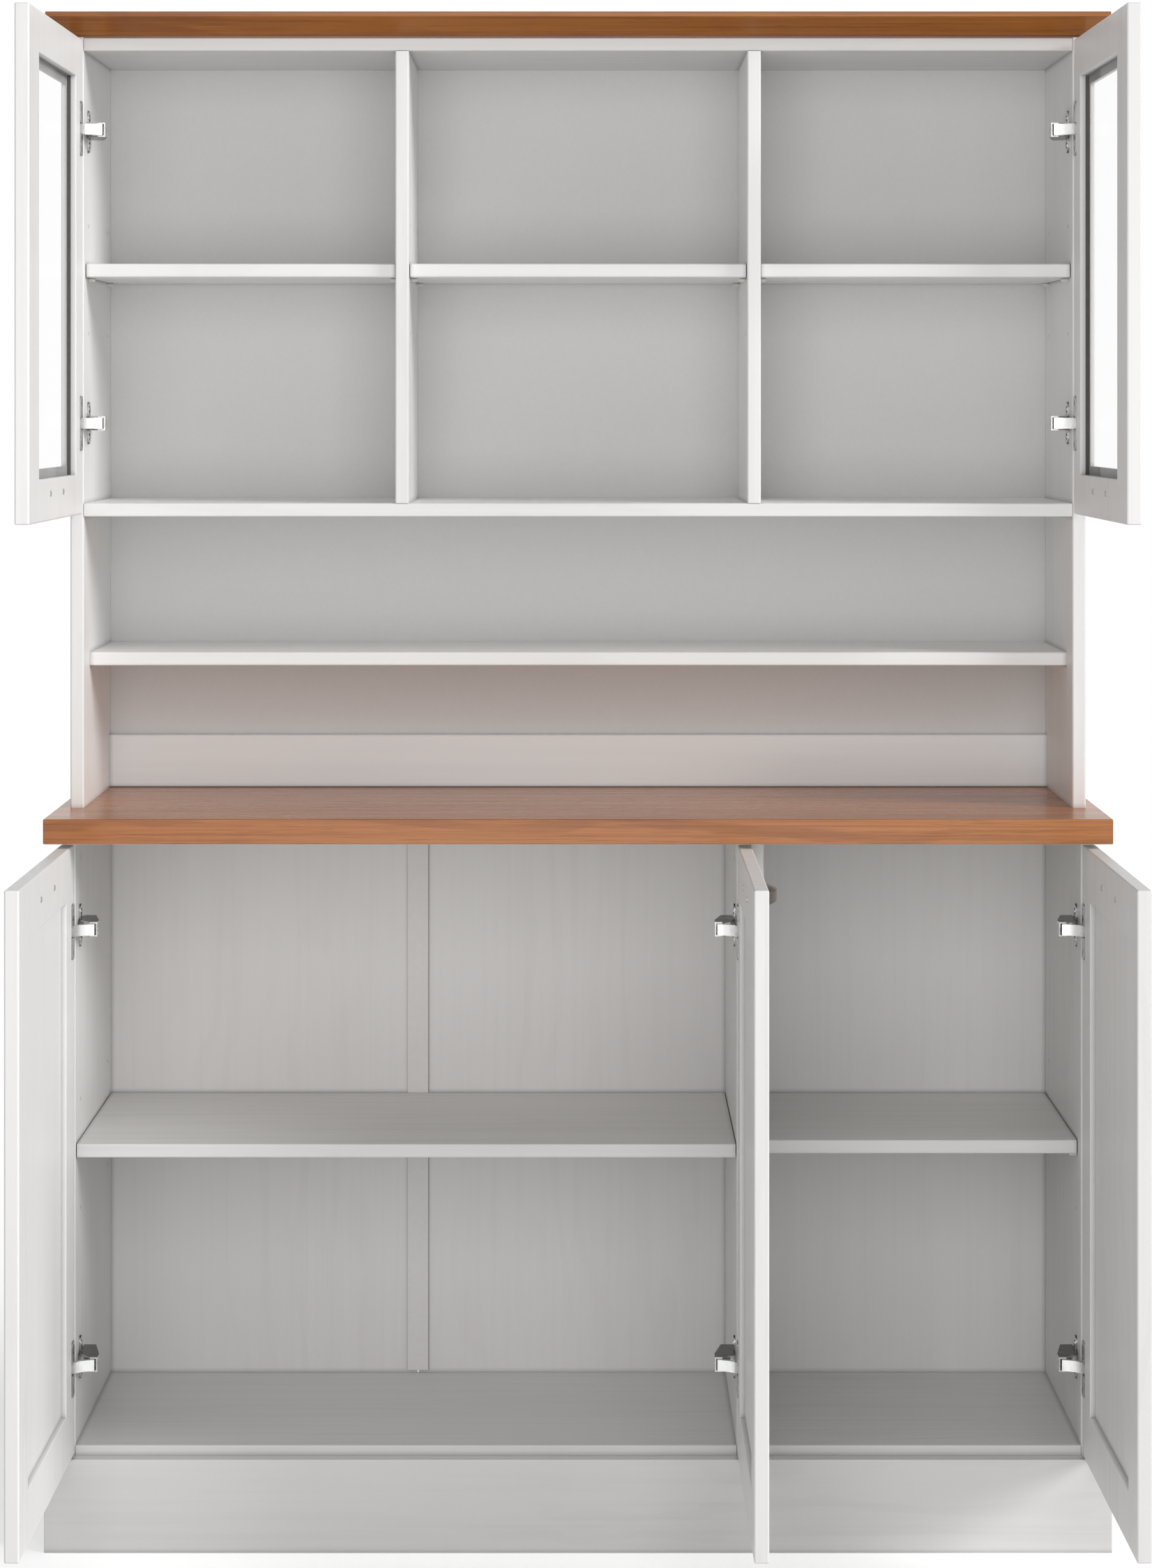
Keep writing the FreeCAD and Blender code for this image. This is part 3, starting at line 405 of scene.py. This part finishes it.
def honey_wood(name, axis, tint=(1.0, 1.0, 1.0), backing=False):
    """Honey-stained board: flowing dark lines, fine pores and a satin lacquer."""
    material = bpy.data.materials.new(name)
    graph = Graph(material)
    pale, deep, line, pore = (
        tuple(part * share for part, share in zip(tone, tint)) + (1.0,) for tone in HONEY
    )
    cloud = graph.noise(grain_scale(axis, *HONEY_CLOUD_SCALE), detail=3.0)
    rings = grain_lines(graph, axis, HONEY_RING_SPACING, HONEY_RING_WANDER)
    patches = graph.band(cloud, *HONEY_RING_PATCHES)
    rings = graph.math("MULTIPLY", graph.band(rings, *HONEY_RING_BAND), patches)
    scale = grain_scale(axis, *HONEY_STREAK_SCALE)
    streaks = graph.noise(scale, detail=5.0, roughness=0.62, distortion=0.15)
    pores = graph.noise(grain_scale(axis, *HONEY_PORE_SCALE), detail=2.0)
    dark = graph.band(pores, *HONEY_PORE_BAND)
    ground = graph.mix(graph.band(cloud, *HONEY_CLOUD_BAND), pale, deep)
    ground = graph.stain(ground, rings, HONEY_RING_SHARE, line)
    ground = graph.stain(ground, graph.band(streaks, *HONEY_STREAK_BAND), HONEY_STREAK_SHARE, line)
    ground = graph.stain(ground, dark, HONEY_PORE_SHARE, pore)
    if backing:
        ground = graph.mix(graph.band(graph.facing_up(), *BACKING_BAND), BACKING, ground)
    graph.finish({
        "Base Color": ground,
        "Roughness": graph.band(streaks, *STREAK_RANGE, *HONEY_ROUGHNESS),
        "Normal": graph.bump(graph.math("SUBTRACT", streaks, dark), *HONEY_RELIEF),
        "Specular IOR Level": HONEY_SPECULAR,
    })
    return material


def plain_sheet():
    """The hutch's back: thin pale grey sheet with a barely uneven coat."""
    material = bpy.data.materials.new("plain_sheet")
    graph = Graph(material)
    mottle = graph.noise((SHEET_MOTTLE,) * 3, detail=4.0, roughness=0.65)
    grain = graph.noise((SHEET_GRAIN,) * 3, detail=2.0)
    graph.finish({
        "Base Color": graph.mix(graph.band(mottle, *MIDDLE_RANGE), *TONES["sheet"]),
        "Roughness": graph.band(mottle, *MIDDLE_RANGE, *SHEET_ROUGHNESS),
        "Normal": graph.bump(grain, *SHEET_RELIEF),
        "Specular IOR Level": SHEET_SPECULAR,
    })
    return material


def metal(name, tint, roughness, axis="x", brushed=0.10, metallic=1.0, painted_level_shade=1.0, heads=None):
    """Plated or brushed steel, with fine lines along one axis and painted shade in narrow slots.

    Level is painted shade: it darkens what faces up or down. Heads gives a side along X and the
    place past which pale screw heads lie.
    """
    material = bpy.data.materials.new(name)
    graph = Graph(material)
    lines = graph.noise(grain_scale(axis, *BRUSH_SCALE), detail=3.0)
    smudge = graph.noise((SMUDGE_SCALE,) * 3, detail=3.0)
    brush_part = graph.math("MULTIPLY", lines, BRUSH_PART)
    worn = graph.math("ADD", brush_part, graph.math("MULTIPLY", smudge, SMUDGE_PART))
    tone = graph.mix(graph.band(smudge, *MIDDLE_RANGE), tint, scaled(tint, SMUDGE_SHARE))
    # painted shade: faces that look up or down are darker
    if painted_level_shade < 1.0:
        slope = graph.math("ABSOLUTE", graph.facing_up())
        tone = graph.mix(graph.band(slope, *PAINTED_LEVEL_SHADE_BAND), tone, scaled(tint, painted_level_shade))
    if heads:
        side, place = heads
        across = graph.coordinate(graph.point(), "X")
        past = graph.math("MULTIPLY", graph.math("SUBTRACT", across, place), side)
        tone = graph.mix(graph.math("GREATER_THAN", past, 0.0), tone, HEAD)
    # painted shade: steel turns dark inside narrow slots and hollows
    away = graph.band(graph.open_share(PAINTED_SLOT_SHADE_REACH), *PAINTED_SLOT_SHADE_BAND)
    least, most = (roughness * share for share in WORN_ROUGHNESS)
    graph.finish({
        "Base Color": graph.mix(away, PAINTED_SLOT_SHADE, tone),
        "Metallic": metallic,
        "Roughness": graph.band(worn, *MIDDLE_RANGE, least, most),
        "Normal": graph.bump(lines, brushed, BRUSH_DEPTH),
    })
    return material


def glass():
    """Clear float glass with a barely tinted film."""
    material = bpy.data.materials.new("clear_glass")
    graph = Graph(material)
    film = graph.noise((GLASS_FILM,) * 3, detail=2.0)
    graph.finish({
        "Base Color": graph.mix(film, *TONES["glass"]),
        "Roughness": GLASS_ROUGHNESS,
        "Alpha": GLASS_ALPHA,
        "IOR": GLASS_IOR,
    })
    return material


def moulded(name, tones, roughness, painted_shadow_edges=()):
    """Moulded plastic or rubber; each edge is a painted shadow line's place along X and its
    strength.
    """
    light, shade = tones
    material = bpy.data.materials.new(name)
    graph = Graph(material)
    mottle = graph.noise((PLASTIC_MOTTLE,) * 3, detail=3.0)
    grain = graph.noise((PLASTIC_GRAIN,) * 3, detail=2.0)
    tone = graph.mix(mottle, light, shade)
    # painted shadow: a dark line along each given edge, stronger on the right
    for place, strength in painted_shadow_edges:
        across = graph.coordinate(graph.point(), "X")
        away = graph.math("ABSOLUTE", graph.math("SUBTRACT", across, place))
        line = graph.band(away, 0.5 * PAINTED_EDGE_SHADOW_WIDTH, PAINTED_EDGE_SHADOW_WIDTH, strength, 0.0)
        tone = graph.mix(line, tone, PAINTED_EDGE_SHADOW_TONE)
    least, most = (roughness + change for change in PLASTIC_SPREAD)
    graph.finish({
        "Base Color": tone,
        "Roughness": graph.band(mottle, *MIDDLE_RANGE, least, most),
        "Normal": graph.bump(grain, *PLASTIC_RELIEF),
    })
    return material


def boards(kind):
    """Washed board with its grain along each of the three axes."""
    return {axis: washed_wood(f"washed_{kind}_{axis}", axis, TONES[kind]) for axis in ALONG}


def handle(name):
    """A handle's metal, with pale heads on the screws' ends at the door's other face."""
    lo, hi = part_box(name)
    left = name.endswith("door_left_handle")
    heads = (1.0, hi.x - HEAD_DEPTH) if left else (-1.0, lo.x + HEAD_DEPTH)
    return metal("brushed_nickel_" + name, *NICKEL, "z", heads=heads)


def dress():
    """Give every solid its finish, with the grain along its length."""
    hutch = boards("hutch")
    # darker copies of the hutch's board for the base, its carcass and its backs, as painted shade
    base_painted_shade = boards("base_painted_shade")
    carcass_painted_shade = boards("carcass_painted_shade")
    # painted light: the rail is a brighter, cooler copy of the board
    rail = washed_wood("washed_rail", "x", TONES["rail"])
    backs_painted_shade = washed_wood("washed_back", "z", TONES["back"], BACK_STRENGTH)
    # painted shadow: the top board is a darker copy, for the crown's shadow on it
    top_painted_shadow = washed_wood("washed_top_painted_shadow", "x", TONES["top"])
    counter = honey_wood("honey_counter", "x", backing=True)
    crown = honey_wood("honey_crown", "x", CROWN_TINT)
    crown_side = honey_wood("honey_crown_return", "y", CROWN_TINT)
    steel = metal("hinge_steel", *STEEL, painted_level_shade=0.17)
    flange = metal("flange_steel", *FLANGE, painted_level_shade=0.6)
    mirror = metal("link_steel", *LINK, brushed=0.03, metallic=0.85)
    sheet = plain_sheet()
    pane = glass()
    strip = moulded("glazing_strip", TONES["strip"], STRIP_ROUGHNESS)
    plastic = moulded("pale_plastic", TONES["plastic"], PLASTIC_ROUGHNESS)
    # painted shadow lines along the joining strip's two edges
    strip_lo, strip_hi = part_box("back_batten")
    painted_shadow_edges = tuple(zip((strip_lo.x, strip_hi.x), PAINTED_EDGE_SHADOW_STRENGTHS))
    batten = moulded("batten_plastic", TONES["batten"], PLASTIC_ROUGHNESS, painted_shadow_edges)
    whole = {
        "crown_front": crown, "crown_returns": crown_side, "countertop": counter,
        "hutch_back": sheet, "hutch_top": top_painted_shadow, "backsplash_rail": rail,
        "back_batten": batten, "shelf_pins": plastic, "cam_locks": plastic,
    }
    ends = {"_hinge_links": mirror, "_hinge_cups": flange, "_glass": pane, "_gasket": strip}
    starts = {"back_": backs_painted_shade, "hinge_": steel}
    grain_x = (
        "bottom_", "shelf_wide", "shelf_narrow", "plinth_front", "plinth_rear", "hutch_deck",
        "open_shelf", "hutch_shelves",
    )
    grain_y = ("plinth_sides", "plinth_braces")
    for name, solid in NODES.items():
        found = [whole[name]] if name in whole else []
        found += [finish for end, finish in ends.items() if name.endswith(end)]
        found += [finish for start, finish in starts.items() if name.startswith(start)]
        if found:
            finish = found[0]
        elif name.endswith("_handle"):
            finish = handle(name)
        else:
            axis = "x" if name.startswith(grain_x) else "y" if name in grain_y else "z"
            if name.startswith(("hutch_", "open_shelf", "upper_door_")):
                finish = hutch[axis]
            elif name.startswith("door_"):
                finish = base_painted_shade[axis]
            else:
                finish = carcass_painted_shade[axis]
        solid.data.materials.clear()
        solid.data.materials.append(finish)


def stage():
    """A pale floor and a white surround, which light the part evenly."""
    mesh = bpy.data.meshes.new("floor")
    corners = ((-1, -1), (1, -1), (1, 1), (-1, 1))
    points = [(x * FLOOR_REACH, y * FLOOR_REACH, 0) for x, y in corners]
    mesh.from_pydata(points, [], [(0, 1, 2, 3)])
    floor = bpy.data.objects.new("floor", mesh)
    bpy.context.scene.collection.objects.link(floor)
    material = bpy.data.materials.new("floor")
    graph = Graph(material)
    plainly = graph.seen_plainly()
    length = graph.add("ShaderNodeVectorMath", {0: graph.point()}, operation="LENGTH")
    away = length.outputs["Value"]
    far = graph.math("MULTIPLY", plainly, graph.band(away, FLOOR_NEAR, FLOOR_FAR))
    near = graph.add("ShaderNodeBsdfPrincipled", {
        "Base Color": FLOOR_COLOR,
        "Roughness": FLOOR_ROUGHNESS,
        "Specular IOR Level": 0.0,
        "Emission Color": WHITE,
        "Emission Strength": graph.math("MULTIPLY", plainly, FLOOR_GLOW),
    })
    white = graph.add("ShaderNodeEmission", {"Color": WHITE, "Strength": 1.0})
    both = graph.add("ShaderNodeMixShader", {0: far, 1: near.outputs[0], 2: white.outputs[0]})
    output = graph.add("ShaderNodeOutputMaterial")
    graph.tree.links.new(both.outputs[0], output.inputs["Surface"])
    mesh.materials.append(material)

    world = bpy.data.worlds.new("surround")
    bpy.context.scene.world = world
    graph = Graph(world)
    strength = graph.band(graph.seen_plainly(), 0.0, 1.0, WORLD_LIGHT, 1.0)
    light = graph.add("ShaderNodeBackground", {"Color": WHITE, "Strength": strength})
    output = graph.add("ShaderNodeOutputWorld")
    graph.tree.links.new(light.outputs[0], output.inputs["Surface"])


bpy.context.scene.view_settings.view_transform = "Standard"
camera()
key = lamp("SUN", "key", KEY_DIRECTION, KEY_DISTANCE, KEY_STRENGTH)
key.angle = math.radians(KEY_SPREAD)
for lamp_name, (direction, distance, width, watts) in LAMPS.items():
    soft = lamp("AREA", lamp_name, direction, distance, watts)
    soft.shape = "SQUARE"
    soft.size = width
stage()
dress()
